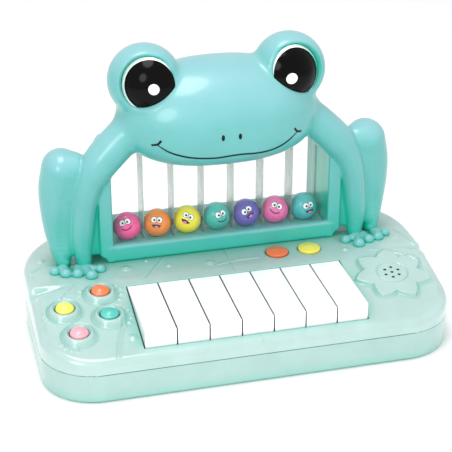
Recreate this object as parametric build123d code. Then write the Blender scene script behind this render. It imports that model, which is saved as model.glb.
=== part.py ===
"""Frog-shaped toy keyboard: seven sprung keys that kick seven balls up clear lanes inside a frog's arms.

Frame: +X to the player's right, +Y away from the player, +Z up. The origin is on the table, under the middle
of the base. Millimetres throughout. Every piece is written to parts/NODE.step.
"""

from build123d import *
from math import atan, cos, degrees, pi, radians, sin
import os

os.makedirs("parts", exist_ok=True)

# ---------------------------------------------------------------- driving dimensions
KEYS = 7
PITCH = 22.0  # one key, and one ball lane above it
GAP = 1.0  # between neighbouring keys
WALL = 2.4  # casing wall
FIT = 0.3  # clearance round a moving piece

BASE_W, BASE_D = 286.0, 172.0
R_FRONT, R_REAR = 38.0, 62.0  # plan corners
FOOT_H = 0.8
SEAM_Z = 21.0  # where the two casings meet
DECK_Z = 45.0  # flat rear deck
PANEL_0, PANEL_SLOPE = 46.8, 0.189  # the front panel is z = PANEL_0 + PANEL_SLOPE * y
PANEL_ANGLE = degrees(atan(PANEL_SLOPE))
EDGE_R = 4.0

KEY_FRONT, KEY_BACK, KEY_TOP = -76.0, -13.6, 44.2
KEY_SKIRT_Z = 25.0
PIVOT_Y, PIVOT_Z = -20.0, 33.0
SHAFT_R = 2.0
STRIKER_R = 2.5

BALL_R = 10.15
BALL_Y, BALL_Z = 39.0, 63.9
TRAY_TOP, TRAY = 54.9, 1.2
SEAT_R = 5.0  # hole in the tray that a ball sits in
LANE_TOP = 132.0

FRAME_FRONT, FRAME_REAR = 20.6, 74.0
FRAME_X = 92.0
FRAME_SHOULDER, FRAME_TOP = 102.0, 120.0  # the frame's height at its outer side and over the lanes
RAIL_Z = (114.0, 123.0)
OPENING_X = 79.0
SILL_Z = 57.7
FROG_FOOT_Z = DECK_Z + 0.1
SPLIT_Y = 34.0  # front and rear frog shells meet here
SHELL = 2.2
PANE = 1.5
FRONT_PANE_Y, REAR_PANE_Y, PANE_HALF = 26.2, 50.3, 80.4
RIB_FRONT = 33.0  # lane dividers stand on the rear pane
CORNER_X, CORNER_Z = 73.0, 121.0  # its upper corners are notched

# head: ellipses square to X, as x, y, z, half depth, half height, all tipped forward by NOD
HEAD = [(0, 32, 149.5, 42, 35), (25, 32.5, 149, 41, 34), (45, 33.5, 148, 36, 29), (60, 34.5, 147, 28, 23),
        (68, 35, 146.5, 20, 16.5), (72, 35, 146.5, 12, 9.5)]
NOD = 25.0
BROW_Y, BROW_Z, BROW_R = 35.0, 174.8, 25.6
EYE_AT = (51.2, 19.5, 177.4)
EYE_LOOK = (0.28, -0.92, 0.26)
EYE_R, EYE_DEPTH, EYE_SKIRT = 18.2, 9.0, 3.0
EYE_FIT = 0.1  # the eyes clear their seats in the head by this

# left cluster of round buttons: name, x, y
BUTTONS = (("orange", -95.7, -16.5), ("yellow", -122.3, -30.2), ("teal", -93.7, -40.7), ("pink", -116.7, -55.9))
BUTTON_R, BEZEL_R, BEZEL_H = 6.5, 9.6, 2.0
MODE_BUTTONS = (("orange", 37.0, 8.0), ("yellow", 61.0, 7.5))
MODE_R = 8.2
BUTTON_BOARD = (-109.0, -37.5)

FLOWER = (108.8, -35.5)
FLOWER_TIP, FLOWER_VALLEY, PETALS, FLOWER_TURN = 27.5, 20.0, 7, 133.0
GRILLE_R, GRILLE_RING, GRILLE_HOLE = 10.6, 5.4, 1.0
SPEAKER_R = 20.0

BASE_SCREWS = [(85, -74), (134, -5), (60, 78)]
FROG_SCREWS = [(85.7, 98), (85.7, 66)]  # x, z: frame front to frame rear
HEAD_SCREWS = [(32, 148), (16, 177)]  # x, z: head front to head rear
NECK_SCREWS = [(30, 57.6)]  # x, y: up through the frame into the head
NECK_SCREW_Z, FROG_SCREW = 113.0, 24.0
FOOT_SCREWS = [(70, 27), (70, 66)]  # x, y: frog to base
SCREW_R, PILOT_R, BOSS_R, HEAD_R = 1.4, 1.45, 3.6, 2.8
FINE_R, FINE_PILOT = 1.0, 1.05  # small screws for the boards and the speaker
FEET = [(112, -58), (100, 58)]
SWITCH_X = -42.0

LANES = [(k - (KEYS - 1) / 2) * PITCH for k in range(KEYS)]


def save(name, shape):
    """Write one named piece, of one or more closed solids."""
    solids = [s for s in shape.solids() if s.volume > 0.01]
    body = solids[0] if len(solids) == 1 else Compound(children=solids)
    body.label = name
    export_step(body, f"parts/{name}.step")


def block(x0, x1, y0, y1, z0, z1):
    return Pos((x0 + x1) / 2, (y0 + y1) / 2, (z0 + z1) / 2) * Box(x1 - x0, y1 - y0, z1 - z0)


def rod(x, y, z0, z1, r):
    """Upright cylinder."""
    return Pos(x, y, (z0 + z1) / 2) * Cylinder(r, z1 - z0)


def rod_x(x0, x1, y, z, r):
    return Pos((x0 + x1) / 2, y, z) * Rot(0, 90, 0) * Cylinder(r, x1 - x0)


def rod_y(x, y0, y1, z, r):
    return Pos(x, (y0 + y1) / 2, z) * Rot(90, 0, 0) * Cylinder(r, y1 - y0)


def ellipsoid(x, y, z, rx, ry, rz):
    return Pos(x, y, z) * scale(Sphere(1), by=(rx, ry, rz))


def fuse(*shapes):
    whole = shapes[0]
    for s in shapes[1:]:
        whole = whole + s
    return whole


def both_sides(points):
    return [(sx * x, y) for x, y in points for sx in (-1, 1)]


def panel_z(y):
    return PANEL_0 + PANEL_SLOPE * y


def on_panel(x, y):
    """A place on the sloped front panel, with its Z along the panel's normal."""
    return Pos(x, y, panel_z(y)) * Rot(PANEL_ANGLE, 0, 0)


# ---------------------------------------------------------------- base casings
def plan(inset=0.0):
    """Outline of the base from above: tight front corners and wide rear ones."""
    s = Rectangle(BASE_W - 2 * inset, BASE_D - 2 * inset)
    s = fillet(s.vertices().group_by(Axis.Y)[0], R_FRONT - inset)
    return fillet(s.vertices().group_by(Axis.Y)[-1], R_REAR - inset)


def slab(inset, z0, z1):
    return extrude(Pos(0, 0, z0) * plan(inset), z1 - z0)


def under_top(drop=0.0):
    """Everything under the sloped panel and flat deck, lowered by drop."""
    reach = 200.0
    knee_y = (DECK_Z - PANEL_0) / PANEL_SLOPE
    outline = Polyline(
        (-reach, 0), (-reach, panel_z(-reach) - drop), (knee_y, DECK_Z - drop), (reach, DECK_Z - drop), (reach, 0),
        close=True,
    )
    face = make_face(outline)
    knee = [v for v in face.vertices() if abs(v.X - knee_y) < 1]
    face = fillet(knee, 60)
    return Pos(-reach, 0, 0) * extrude(Plane.YZ * face, 2 * reach)


def rim_edges(solid):
    """Outer top edges: those near the outline that don't run straight up."""
    found = []
    for e in solid.edges():
        c, a, b = e.center(), e @ 0, e @ 1
        if c.Z > SEAM_Z + 3 and abs(a.Z - b.Z) < 0.8 * e.length and (abs(c.X) > 90 or abs(c.Y) > 80):
            found.append(e)
    return found


def polar(r, a):
    return r * cos(a), r * sin(a)


def flower_outline():
    """Open lily: pointed petals with round flanks, as one closed face."""
    step = 2 * pi / PETALS
    turn = radians(FLOWER_TURN)
    corners = []
    for k in range(2 * PETALS + 1):
        corners.append((turn + k * step / 2, FLOWER_VALLEY if k % 2 else FLOWER_TIP))
    sides = []
    for (a0, r0), (a1, r1) in zip(corners, corners[1:]):
        middle = polar((r0 + r1) / 2 + 1.0, (a0 + a1) / 2)
        sides.append(ThreePointArc(polar(r0, a0), middle, polar(r1, a1)))
    return make_face(Wire(sides))


def grille_points():
    ring = [(GRILLE_RING * cos(radians(a)), GRILLE_RING * sin(radians(a))) for a in range(20, 380, 60)]
    return [(0, 0)] + ring


def upper_casing():
    body = slab(0, SEAM_Z + 0.2, 60) & under_top()
    body = fillet(rim_edges(body), EDGE_R)
    body = body - (slab(WALL, 0, 60) & under_top(WALL)) - slab(1.2, SEAM_Z, SEAM_Z + 2.4)
    # raised rings round the buttons, and the flower over the speaker
    for _, x, y in BUTTONS:
        ring = Cylinder(BEZEL_R, 2 * BEZEL_H) - Cylinder(BUTTON_R + 1.2, 4 * BEZEL_H)
        ring = fillet(ring.edges().group_by(Axis.Z)[-1], 0.9)
        body = body + on_panel(x, y) * ring
    flower = extrude(flower_outline(), 1.4)
    flower = flower + Pos(0, 0, -0.6) * extrude(flower_outline(), 0.8)
    body = body + on_panel(*FLOWER) * flower - on_panel(*FLOWER) * (Pos(0, 0, 1.4) * Cylinder(GRILLE_R, 1.0))
    # openings: keys, buttons, grille, kickers
    half = KEYS * PITCH / 2 + FIT
    body = body - block(-half, half, KEY_FRONT - 0.9, KEY_BACK + 0.6, 20, 60)
    for _, x, y in BUTTONS:
        body = body - on_panel(x, y) * Cylinder(BUTTON_R + FIT, 30)
    for _, x, y in MODE_BUTTONS:
        body = body - rod(x, y, 30, 60, MODE_R + FIT)
    for x, y in grille_points():
        body = body - on_panel(*FLOWER) * Pos(x, y, 0) * Cylinder(GRILLE_HOLE, 12)
    for x in LANES:
        body = body - block(x - 4.5, x + 4.5, BALL_Y - 8, BALL_Y + 7, 40, 50)
    # screw posts and speaker posts
    for x, y in both_sides(BASE_SCREWS):
        post = rod(x, y, SEAM_Z + 0.3, 60, BOSS_R) & under_top(1.0)
        body = body + post - rod(x, y, 20, SEAM_Z + 10, PILOT_R)
    for x, y in speaker_posts():
        body = body + (rod(x, y, 34.2, 60, 2.6) & under_top(1.0)) - rod(x, y, 30, 36.4, FINE_PILOT)
    for x, y in both_sides(FOOT_SCREWS):
        body = body - rod(x, y, 40, 50, SCREW_R + 0.2)
    # pegs that hold the button boards
    for x, y in ((-22.6, -12), (-22.6, 12), (22.6, -12), (22.6, 12)):
        body = body + on_panel(BUTTON_BOARD[0] + x, BUTTON_BOARD[1] + y) * Pos(0, 0, -5.4) * Cylinder(1.3, 7.9)
    for y in (3, 12):
        body = body + rod(49, y, 39.15, 43, 1.5)
    for x, y in ((-80.5, PIVOT_Y), (80.5, PIVOT_Y)):
        cradle = block(x - 2, x + 2, y - 4, y + 4, PIVOT_Z - 4, 42.5) & under_top(1.0)
        body = body + cradle
    return body - rod_x(-84, 84, PIVOT_Y, PIVOT_Z, SHAFT_R + 0.03)


def battery_bay():
    """Lowest corner and highest corner of the battery space, in plan."""
    return -26.0, 26.0, 12.0, 74.0


def lower_casing():
    body = slab(0, FOOT_H, SEAM_Z)
    body = fillet(body.edges().group_by(Axis.Z)[0], 1.8)
    body = body - slab(WALL, FOOT_H + WALL, SEAM_Z + 5)
    tongue = slab(1.45, SEAM_Z - 3, SEAM_Z + 2) - slab(WALL + 0.05, SEAM_Z - 4, SEAM_Z + 3)
    body = body + tongue
    floor = FOOT_H + WALL
    for x, y in both_sides(BASE_SCREWS):
        body = body + rod(x, y, floor - 1, SEAM_Z, BOSS_R + 0.4)
        body = body - rod(x, y, 0, SEAM_Z + 1, SCREW_R + 0.2) - rod(x, y, 0, FOOT_H + 5, HEAD_R + 0.4)
    for x, y in both_sides(FEET):
        body = body - rod(x, y, 0, FOOT_H + 0.8, 6.2)
    # battery bay: walls up from the floor, roof over, open below for the door
    x0, x1, y0, y1 = battery_bay()
    bay = block(x0 - 2, x1 + 2, y0 - 2, y1 + 2, floor - 1, 22)
    body = body + bay - block(x0, x1, y0, y1, -1, 20)
    body = body - block(x0 - 4, x1 + 4, y0 - 4, y1 + 1.6, -1, FOOT_H + 1.4) - rod(0, y0 - 9, 0, 30, SCREW_R + 0.3)
    body = body + (rod(0, y0 - 9, floor - 1, 14, 4) - rod(0, y0 - 9, 0, 15, PILOT_R))
    body = body - block(-6, 6, y0 - 14, y0, -1, FOOT_H + 1.9)
    # seats for the key springs, posts for the boards
    for x in LANES:
        body = body + rod(x, -66, floor - 1, 11.8, 2.4)
    for x, y in board_posts():
        body = body + rod(x, y, floor - 1, 9.0, 2.4) - rod(x, y, 5, 10, FINE_PILOT)
    for x in (-66, 0, 66):
        body = body + rod(x + 11 if x < 60 else x - 11, -44, floor - 1, 14.9, 2.2)
    # slot for the power switch in the back wall
    return body - block(SWITCH_X - 8, SWITCH_X + 8, 80, 90, 8.5, 14.5)


def board_posts():
    return [(-118, 22), (-66, 22), (-118, 54), (-66, 54)]


def speaker_posts():
    x, y = FLOWER
    return [(x + 22.6 * cos(radians(a)), y + 22.6 * sin(radians(a))) for a in (60, 180, 300)]


def screw(length, head_r=HEAD_R, r=SCREW_R):
    """Pan-head screw, head down, its shank pointing up from Z 0."""
    head = Pos(0, 0, -0.9) * Cylinder(head_r, 1.8)
    slots = Pos(0, 0, -1.6) * Box(3.4, 0.7, 1) + Pos(0, 0, -1.6) * Box(0.7, 3.4, 1)
    return head + Pos(0, 0, length / 2) * Cylinder(r, length) - slots


def base_fittings():
    x0, x1, y0, y1 = battery_bay()
    z0 = FOOT_H + 0.1
    door = block(x0 - 3.7, x1 + 3.7, y0 - 3.7, y1 + 1.3, z0, z0 + 1.2)
    door = door + block(-5.7, 5.7, y0 - 13.6, y0, z0, z0 + 1.7)
    door = door - rod(0, y0 - 9, 0, z0 + 1.12, HEAD_R + 0.1)
    door = door + block(x0 + 2, x1 - 2, y0 + 2, y1 - 2, z0 + 1.2, z0 + 1.6)
    for y in range(5):
        door = door - block(-9, 9, y1 - 12 + 2 * y, y1 - 11 + 2 * y, 0, z0 + 0.5)
    save("battery_door", door - rod(0, y0 - 9, 0, 5, SCREW_R + 0.1))
    save("battery_door_screw", Pos(0, y0 - 9, z0 + 1.1) * Rot(0, 0, 45) * screw(8))
    heads = [Pos(x, y, FOOT_H + 5) * screw(SEAM_Z + 8 - FOOT_H - 5) for x, y in both_sides(BASE_SCREWS)]
    save("base_screws", Compound(children=[s.solid() for s in heads]))
    pads = [rod(x, y, 0, FOOT_H + 0.75, 6.0) for x, y in both_sides(FEET)]
    pads = [fillet(p.edges().group_by(Axis.Z)[0], 0.5) for p in pads]
    save("rubber_feet", Compound(children=[p.solid() for p in pads]))


# ---------------------------------------------------------------- toes on the deck
TOES = [(122, 16, 3.4), (115, 11, 3.7), (107, 8.5, 3.7), (98, 3.5, 3.9), (90.5, 12, 3.4)]


def foot(side):
    """Webbed toes of one leg and one arm: low bumps standing on the deck."""
    bumps = [ellipsoid(side * x, y, DECK_Z, r, r, r * 1.05) for x, y, r in TOES]
    palms = [ellipsoid(side * 115, 18, DECK_Z, 8, 8, 2.6), ellipsoid(side * 99, 12, DECK_Z, 8, 8, 2.6)]
    bridge = ellipsoid(side * 107, 14, DECK_Z, 8, 5, 2.2)
    shape = fuse(*palms, bridge, *bumps) & block(side * 107 - 30, side * 107 + 30, -10, 30, DECK_Z + 0.05, 60)
    keep_out = rod(side * 100, 22.5, 40, 60, 8.0) + rod(side * 114.5, 28, 40, 60, 9.5)
    return shape - keep_out


# ---------------------------------------------------------------- keys
def key(x):
    """One key: hollow cap, lever arm, pivot eye, spring seat, contact rib and the post that kicks the ball."""
    w = PITCH - GAP
    cap = block(x - w / 2, x + w / 2, KEY_FRONT, KEY_BACK, KEY_SKIRT_Z, KEY_TOP)
    cap = fillet(cap.edges().filter_by(lambda e: e.center().Z > KEY_TOP - 0.1), 0.9)
    cap = cap - block(x - w / 2 + 1.6, x + w / 2 - 1.6, KEY_FRONT + 1.6, KEY_BACK - 1.6, 0, KEY_TOP - 1.8)
    rib = block(x - 0.9, x + 0.9, KEY_FRONT + 1, KEY_BACK - 1, 36, KEY_TOP - 1)
    arm = block(x - 4, x + 4, PIVOT_Y - 8, BALL_Y + 4, 30, 35)
    web = block(x - 1.2, x + 1.2, PIVOT_Y - 8, KEY_BACK - 1, 33, KEY_TOP - 1)
    eye = rod_x(x - 7, x + 7, PIVOT_Y, PIVOT_Z, 4.2)
    striker = rod(x, BALL_Y, 32, 48.3, STRIKER_R)
    striker = fillet(striker.edges().group_by(Axis.Z)[-1], 0.9)
    seat = rod(x, -66, 30.2, KEY_TOP - 1, 2.4)
    plunger = block(x - 2, x + 2, -50, -46, 23.6, KEY_TOP - 1)
    skirt_relief = block(x - 20, x + 20, -44, KEY_BACK + 1, 0, 29.6)
    body = fuse(cap - skirt_relief, rib, arm, web, eye, striker, seat, plunger)
    return body - rod_x(x - 12, x + 12, PIVOT_Y, PIVOT_Z, SHAFT_R + 0.05)


def coil(x, y, z0, z1, r, wire, turns):
    """Compression spring standing at x, y."""
    path = Pos(x, y, z0 + wire) * Helix((z1 - z0 - 2 * wire) / turns, z1 - z0 - 2 * wire, r)
    section = Plane(origin=path @ 0, z_dir=path % 0) * Circle(wire)
    return sweep(section, path=path)


def key_bed():
    for k, x in enumerate(LANES, 1):
        save(f"key_{k}", key(x))
    save("key_shaft", rod_x(-82.3, 82.3, PIVOT_Y, PIVOT_Z, SHAFT_R))
    springs = [coil(x, -66, 11.9, 30.1, 3.1, 0.35, 6) for x in LANES]
    save("key_springs", Compound(children=[s.solid() for s in springs]))
    save("key_contact_board", block(-78, 78, -58, -38, 15, 16.6))
    pads = block(-76, 76, -54, -42, 16.7, 17.5)
    for x in LANES:
        pads = pads + Pos(x, -48, 17.4) * Cone(3.4, 2.2, 3.2, align=(Align.CENTER, Align.CENTER, Align.MIN))
    save("key_contact_pads", pads)


# ---------------------------------------------------------------- buttons and switch
def button(r, cap_h, drop, flange_h=1.0):
    """Domed cap with a retaining flange. Z 0 is the casing's outer surface."""
    dome_r = (r * r + 2.0**2) / (2 * 2.0)
    shell = Pos(0, 0, (cap_h - drop) / 2) * Cylinder(r, cap_h + drop)
    dome = Pos(0, 0, cap_h + 2.0 - dome_r) * Sphere(dome_r)
    under_dome = dome + Pos(0, 0, cap_h / 2 - 15) * Cylinder(r, 30 + cap_h - 0.2)
    body = (shell + Pos(0, 0, cap_h + 1) * Cylinder(r, 2.0 + 2)) & under_dome
    return body + Pos(0, 0, -drop - flange_h / 2) * Cylinder(r + 1.4, flange_h)


def buttons():
    for name, x, y in BUTTONS:
        save(f"button_{name}", on_panel(x, y) * button(BUTTON_R, 2.0, 3.0))
    for name, x, y in MODE_BUTTONS:
        save(f"mode_button_{name}", Pos(x, y, DECK_Z) * button(MODE_R, 0.6, 2.7, 0.8))
    x, y = BUTTON_BOARD
    board = on_panel(x, y) * Pos(0, 0, -10.2) * Box(48, 54, 1.6)
    save("button_board", board)
    pads = on_panel(x, y) * Pos(0, 0, -8.95) * Box(41, 50, 0.8)
    for _, bx, by in BUTTONS:
        pads = pads + on_panel(bx, by) * Pos(0, 0, -7.6) * Cone(4.0, 2.6, 2.2)
    save("button_pads", pads)
    save("mode_board", block(28, 70, -0.5, 16, 38.1, 39.1))
    domes = [rod(x, y, 39.15, 40.0, 3.5) for _, x, y in MODE_BUTTONS]
    save("mode_pads", Compound(children=[d.solid() for d in domes]))


def power_switch():
    """Slide switch behind a slot in the back wall."""
    x = SWITCH_X
    slot = block(x - 5.4, x + 5.4, 79, 84, 9.4, 13.6)
    save("power_switch_body", block(x - 9, x + 9, 73, 83, 7.5, 15.5) - slot)
    grip = block(x - 4.6, x - 0.4, 80, 85.9, 9.8, 13.2)
    for k in range(3):
        grip = grip - block(x - 3.9 + k * 1.2, x - 3.4 + k * 1.2, 85.4, 88, 0, 20)
    save("power_switch", grip)


# ---------------------------------------------------------------- electronics
def electronics():
    board = block(-124, -60, 16, 60, 9.1, 10.7)
    for x, y in board_posts():
        board = board - rod(x, y, 8, 12, FINE_R + 0.2)
    save("main_board", board)
    chip = Pos(-92, 38, 10.8 + 1.2) * Cylinder(9, 2.4)
    caps = [rod(x, 28, 10.75, 18, 3.0) for x in (-106, -98)]
    socket = block(-78, -66, 30, 42, 10.75, 15.5)
    crystal = block(-110, -102, 44, 48, 10.75, 13.5)
    parts = [chip, *caps, socket, crystal]
    save("board_components", Compound(children=[p.solid() for p in parts]))
    pins = [Pos(x, y, 10.75) * Rot(180, 0, 0) * screw(5.2, 2.2, FINE_R) for x, y in board_posts()]
    save("board_screws", Compound(children=[p.solid() for p in pins]))
    x, y = FLOWER
    basket = rod(x, y, 31.2, 33.2, SPEAKER_R) + Pos(x, y, 27.6) * Cone(11, SPEAKER_R - 0.5, 7.2)
    basket = basket + rod(x, y, 15, 24.2, 12)
    basket = basket - Pos(x, y, 29.4) * Cone(9, SPEAKER_R - 2.2, 8.4) - rod(x, y, 19, 40, 8.4)
    for px, py in speaker_posts():
        tab_x, tab_y = (px - x) * 0.92 + x, (py - y) * 0.92 + y
        basket = basket + rod(tab_x, tab_y, 32.2, 33.2, 3.2) - rod(px, py, 30, 36, FINE_R + 0.2)
    save("speaker_frame", basket)
    cone = Pos(x, y, 30.4) * (Cone(9.6, 17.0, 6.2) - Pos(0, 0, 0.8) * Cone(9.4, 16.9, 6.2))
    cone = cone + (rod(x, y, 33.25, 33.85, 19.2) - rod(x, y, 33, 34, 16.2))
    voice = rod(x, y, 20, 28.4, 7.4) - rod(x, y, 19, 27.2, 6.6)
    cap = Pos(x, y, 27.9) * scale(Sphere(1), by=(8.2, 8.2, 3.2)) & block(x - 10, x + 10, y - 10, y + 10, 27.8, 40)
    save("speaker_cone", cone + voice + rod(x, y, 27.2, 28.4, 10.4) + cap)
    pins = [Pos(px, py, 32.15) * screw(3.8, 2.0, FINE_R) for px, py in speaker_posts()]
    save("speaker_screws", Compound(children=[p.solid() for p in pins]))
    batteries()
    leads()


def batteries():
    """Three AA cells lying side by side, with their spring and plate contacts."""
    x0, x1, y0, y1 = battery_bay()
    cells, metal = [], []
    for k in range(3):
        x = (k - 1) * 16.4
        cell = rod_y(x, y0 + 6.5, y0 + 55.5, 11.2, 7.2) + rod_y(x, y0 + 55.5, y0 + 57, 11.2, 2.6)
        cells.append(cell)
        metal.append(block(x - 6.5, x + 6.5, y1 - 2.6, y1 - 2.1, 5, 18))
        metal.append(block(x - 6.5, x + 6.5, y0 + 0.3, y0 + 0.8, 5, 18))
        spiral = Helix(1.6, 4.8, 3.4, cone_angle=-8)
        wire = sweep(Plane(origin=spiral @ 0, z_dir=spiral % 0) * Circle(0.3), path=spiral)
        metal.append(Pos(x, y0 + 1.2, 11.2) * Rot(-90, 0, 0) * wire)
    save("batteries", Compound(children=[c.solid() for c in cells]))
    save("battery_contacts", Compound(children=[m.solid() for m in metal]))


def lead(points, radius):
    path = FilletPolyline(*points, radius=radius)
    return sweep(Plane(origin=path @ 0, z_dir=path % 0) * Circle(0.6), path=path)


def leads():
    """Wires lying on the casing floor, from the board to the speaker and to the battery bay."""
    z = FOOT_H + WALL + 0.8
    wires = []
    for d in (0, 2):
        points = [(-63, 24 + d, 14), (-58, 24 + d, 14), (-54 - d, 22, 9 - d), (-52 - d, 4, z), (20, -4 - d, z),
                  (84, -14 - d, z), (94 + d, -24, z + 5), (96 + d, -25, 16)]
        wires.append(lead(points, 1.6))
    save("speaker_leads", Compound(children=[w.solid() for w in wires]))
    wires = []
    for d in (0, 2):
        wires.append(lead([(-63, 46 + d, 14), (-52, 46 + d, 14), (-40, 46 + d, 13), (-28.4, 46 + d, 12)], 6))
    save("battery_leads", Compound(children=[w.solid() for w in wires]))


# ---------------------------------------------------------------- frog
# Limbs as rows of (x, y, z, radius); the depth radius is the radius times the limb's depth factor.
ARM = [(58, 32, 144, 15.0), (74, 29, 131, 14.6), (86.4, 27, 119, 12.9), (94, 25.5, 106, 10.8), (98, 25, 92, 9.1),
       (100, 24.5, 76, 8.3), (101, 24, 60, 7.0), (100, 22.5, FROG_FOOT_Z, 5.0)]
ARM_DEPTH = 1.15
LEG = [(111, 36, 115, 14.8), (114.6, 36, 101, 13.3), (116.4, 35, 86, 11.2), (116.9, 34, 70, 9.0), (116, 31, 56, 7.0),
       (114.5, 28, FROG_FOOT_Z, 5.0)]
LEG_DEPTH = 1.2


def limb(rows, depth, wall=0.0):
    """Loft through ellipses square to the limb's path."""
    points = [Vector(x, y, z) for x, y, z, _ in rows]
    last = len(points) - 1
    faces = []
    for k, row in enumerate(rows):
        along = (points[min(k + 1, last)] - points[max(k - 1, 0)]).normalized()
        if k == last:
            along = Vector(0, 0, -1)
        across = Vector(0, 1, 0).cross(along)
        r = row[3] - wall
        faces.append(Plane(origin=points[k], x_dir=across, z_dir=along) * Ellipse(r, r * depth))
    return loft(faces)


def eye_place(side):
    look = Vector(side * EYE_LOOK[0], EYE_LOOK[1], EYE_LOOK[2])
    return Plane(origin=(side * EYE_AT[0], EYE_AT[1], EYE_AT[2]), z_dir=look).location


def eye(side):
    """Domed cap on a short skirt that seats in the socket."""
    ball_r = (EYE_R**2 + EYE_DEPTH**2) / (2 * EYE_DEPTH)
    dome = Pos(0, 0, EYE_DEPTH - ball_r) * Sphere(ball_r) & Pos(0, 0, 25) * Box(60, 60, 50)
    skirt = Pos(0, 0, (0.1 - EYE_SKIRT) / 2) * Cylinder(EYE_R, EYE_SKIRT + 0.1)
    return eye_place(side) * (dome + skirt)


def socket(side, grow=0.0):
    """Round seat for one eye, open to the front."""
    bottom = -EYE_SKIRT - EYE_FIT - grow
    return eye_place(side) * Pos(0, 0, (bottom + 40) / 2) * Cylinder(EYE_R + EYE_FIT + grow, 40 - bottom)


def head_volume(wall=0.0, sockets=True):
    """The head's outside, or with a wall, the hollow inside it."""
    rows = [(-x, y, z, a, b) for x, y, z, a, b in HEAD[:0:-1]] + HEAD
    nod = radians(NOD)
    forward = Vector(0, cos(nod), sin(nod))
    faces = [Plane(origin=(x - (x > 0) * wall + (x < 0) * wall, y, z), x_dir=forward, z_dir=(1, 0, 0))
             * Ellipse(a - wall, b - wall) for x, y, z, a, b in rows]
    head = loft(faces)
    for side in (-1, 1):
        brow = Pos(side * EYE_AT[0], BROW_Y, BROW_Z) * Sphere(BROW_R - wall)
        head = head + brow
    if sockets:
        head = head - socket(-1, wall) - socket(1, wall)
    return head


def post(wall=0.0):
    """Right side of the frame, its outer corner sloped off at the top."""
    inner, outer = OPENING_X + (3.4 if wall else 0), FRAME_X - wall
    foot, shoulder, top = FROG_FOOT_Z - wall, FRAME_SHOULDER - wall, FRAME_TOP - wall
    outline = Polyline((inner, foot), (outer, foot), (outer, shoulder), (inner, top), close=True)
    depth = FRAME_REAR - FRAME_FRONT - 2 * wall
    return Pos(0, FRAME_REAR - wall, 0) * extrude(Plane.XZ * make_face(outline), depth)


def right_side(wall=0.0):
    x, y, z, r = LEG[0]
    leg = limb(LEG, LEG_DEPTH, wall) + Pos(x, y, z) * Sphere(r + 0.2 - wall)
    side = limb(ARM, ARM_DEPTH, wall) + post(wall) + leg
    if wall:
        return side
    return side + block(OPENING_X + 6, 112, SPLIT_Y + 1, SPLIT_Y + 6, FROG_FOOT_Z, 96)  # web behind arm and leg


def frame_volume(wall=0.0):
    """Arms, legs and the frame round the ball lanes, or with a wall, the hollow inside them."""
    side = right_side(wall)
    whole = side + mirror(side, Plane.YZ)
    x, w = OPENING_X + 5, wall
    if not wall:
        whole = whole + block(-x, x, FRAME_FRONT, FRAME_REAR, FROG_FOOT_Z, SILL_Z)
    else:
        whole = whole + block(-x, x, FRAME_FRONT + w, FRAME_REAR - w, FROG_FOOT_Z - w, 50.0)
        whole = whole + block(-x, x, REAR_PANE_Y + PANE + 4, FRAME_REAR - w, 49.0, SILL_Z - w)
    rail = block(-x, x, REAR_PANE_Y + PANE + 1.2 + w, FRAME_REAR - w, RAIL_Z[0] + w, RAIL_Z[1] - w)
    neck = block(-48 + w, 48 - w, REAR_PANE_Y + PANE + 1.2 + w, FRAME_REAR - 6 - w, 112, 146)
    return whole + rail + neck


def lane_space():
    """Room for the balls, the panes and the strikers, cut through whatever is there."""
    lane_bottom = TRAY_TOP - TRAY
    front, rear = FRONT_PANE_Y - 0.05, REAR_PANE_Y + PANE + 0.05
    space = block(-OPENING_X, OPENING_X, front, rear, lane_bottom, LANE_TOP + 0.3)
    for y in (FRONT_PANE_Y, REAR_PANE_Y):
        groove = block(-PANE_HALF - 0.2, PANE_HALF + 0.2, y - 0.05, y + PANE + 0.05, lane_bottom, LANE_TOP + 0.3)
        space = space + groove
    for x in LANES:
        space = space + block(x - 4.5, x + 4.5, BALL_Y - 8, BALL_Y + 7, 40, lane_bottom + 1)
    return space


def halves(shell):
    front = shell & block(-200, 200, -100, SPLIT_Y - 0.05, 0, 300)
    rear = shell & block(-200, 200, SPLIT_Y + 0.05, 200, 0, 300)
    return front, rear


def screw_y(x, z):
    return Pos(x, 54, z) * Rot(90, 0, 0) * screw(FROG_SCREW)


def screw_hole_y(x, z):
    return rod_y(x, 54 - FROG_SCREW - 1, 60, z, PILOT_R) + rod_y(x, 54, 100, z, HEAD_R + 0.3)


def head_shells():
    outer = head_volume()
    shell = outer - head_volume(SHELL)
    for x, z in both_sides(HEAD_SCREWS):
        shell = shell + (rod_y(x, -20, 90, z, BOSS_R) & outer) - screw_hole_y(x, z)
    for x, y in both_sides(NECK_SCREWS):
        shell = shell + (rod(x, y, 100, 141, BOSS_R) & outer)
        shell = shell - rod(x, y, 100, NECK_SCREW_Z + FROG_SCREW + 1, PILOT_R)
    shell = shell - lane_space()
    front, rear = halves(shell)
    save("head_front_shell", front)
    save("head_rear_shell", rear)


def frame_shells():
    outer = frame_volume()
    shell = outer - frame_volume(SHELL)
    for x, z in both_sides(FROG_SCREWS):
        shell = shell + rod_y(x, FRAME_FRONT + 1, FRAME_REAR - 1, z, BOSS_R) - screw_hole_y(x, z)
    for x, y in both_sides(FOOT_SCREWS):
        shell = shell + rod(x, y, FROG_FOOT_Z, 56, BOSS_R) - rod(x, y, 40, 52, PILOT_R)
    for x, y in both_sides(NECK_SCREWS):
        shell = shell + rod(x, y, 111, 124, BOSS_R + 1)
        shell = shell - rod(x, y, 90, NECK_SCREW_Z, HEAD_R + 0.4) - rod(x, y, 100, 150, SCREW_R + 0.2)
    shell = shell - head_volume(-0.1, sockets=False) - lane_space()
    for side in (-1, 1):
        shell = shell - rod_y(side * 87, 0, 200, DECK_Z - 2.4, 6.4)
    front, rear = halves(shell)
    save("frame_front_shell", front)
    save("frame_rear_shell", rear)


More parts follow.
